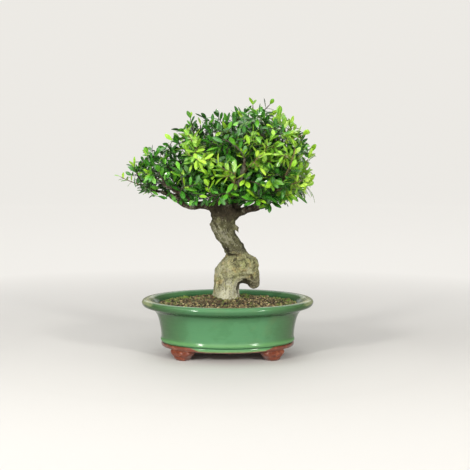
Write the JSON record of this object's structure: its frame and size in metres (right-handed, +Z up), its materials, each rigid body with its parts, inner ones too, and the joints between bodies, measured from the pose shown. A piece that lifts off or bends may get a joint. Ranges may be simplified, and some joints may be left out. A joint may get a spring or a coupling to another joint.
{
  "type": "pomegranate bonsai",
  "caption": "Dwarf pomegranate bonsai with an S-bent trunk, a hooked root and a domed leafy crown, in a soil-filled oval glazed pot with a rolled rim on low cloud feet.",
  "frame": {"origin": "middle of the whole tree and pot's bounding box at the level of the feet's soles", "axes": "+Z up the tree, +X along the pot's length towards the heavier side of the crown, +Y to the back"},
  "size_m": [0.2896, 0.2004, 0.3684],
  "materials": {
    "glazed_clay": "glossy celadon-green glaze on stoneware; the lowest bead and the feet are bare reddish-brown clay",
    "plastic_mesh": "black plastic netting",
    "soil": "coarse grains of brown, tan and reddish potting grit with moss",
    "bark": "rough olive-brown bark, paler at the base, with lichen",
    "mature_leaf": "glossy deep green leaves",
    "young_leaf": "satin yellow-green young leaves"
  },
  "bodies": {
    "root": {"trunk": "bark", "shoot_01": "young_leaf", "shoot_02": "young_leaf", "shoot_03": "mature_leaf", "shoot_04": "mature_leaf", "shoot_05": "mature_leaf", "shoot_06": "mature_leaf", "shoot_07": "mature_leaf", "shoot_08": "mature_leaf", "shoot_09": "mature_leaf", "shoot_10": "mature_leaf", "shoot_11": "mature_leaf", "shoot_12": "mature_leaf", "shoot_13": "young_leaf", "shoot_14": "mature_leaf", "shoot_15": "mature_leaf", "shoot_16": "mature_leaf", "shoot_17": "mature_leaf", "shoot_18": "mature_leaf", "shoot_19": "mature_leaf", "shoot_20": "young_leaf", "shoot_21": "mature_leaf", "shoot_22": "mature_leaf", "shoot_23": "mature_leaf", "shoot_24": "young_leaf", "shoot_25": "young_leaf", "shoot_26": "mature_leaf", "shoot_27": "young_leaf", "shoot_28": "mature_leaf", "shoot_29": "mature_leaf", "shoot_30": "young_leaf", "shoot_31": "mature_leaf", "shoot_32": "young_leaf", "shoot_33": "mature_leaf", "shoot_34": "mature_leaf", "shoot_35": "young_leaf", "shoot_36": "mature_leaf", "shoot_37": "mature_leaf", "shoot_38": "mature_leaf", "shoot_39": "mature_leaf", "shoot_40": "young_leaf", "shoot_41": "mature_leaf", "shoot_42": "mature_leaf", "shoot_43": "young_leaf", "shoot_44": "mature_leaf", "shoot_45": "mature_leaf", "shoot_46": "mature_leaf", "shoot_47": "mature_leaf", "shoot_48": "mature_leaf", "shoot_49": "young_leaf", "shoot_50": "mature_leaf", "pot": "glazed_clay", "drain_mesh_left": "plastic_mesh", "drain_mesh_right": "plastic_mesh", "soil": "soil"}
  },
  "joints": []
}
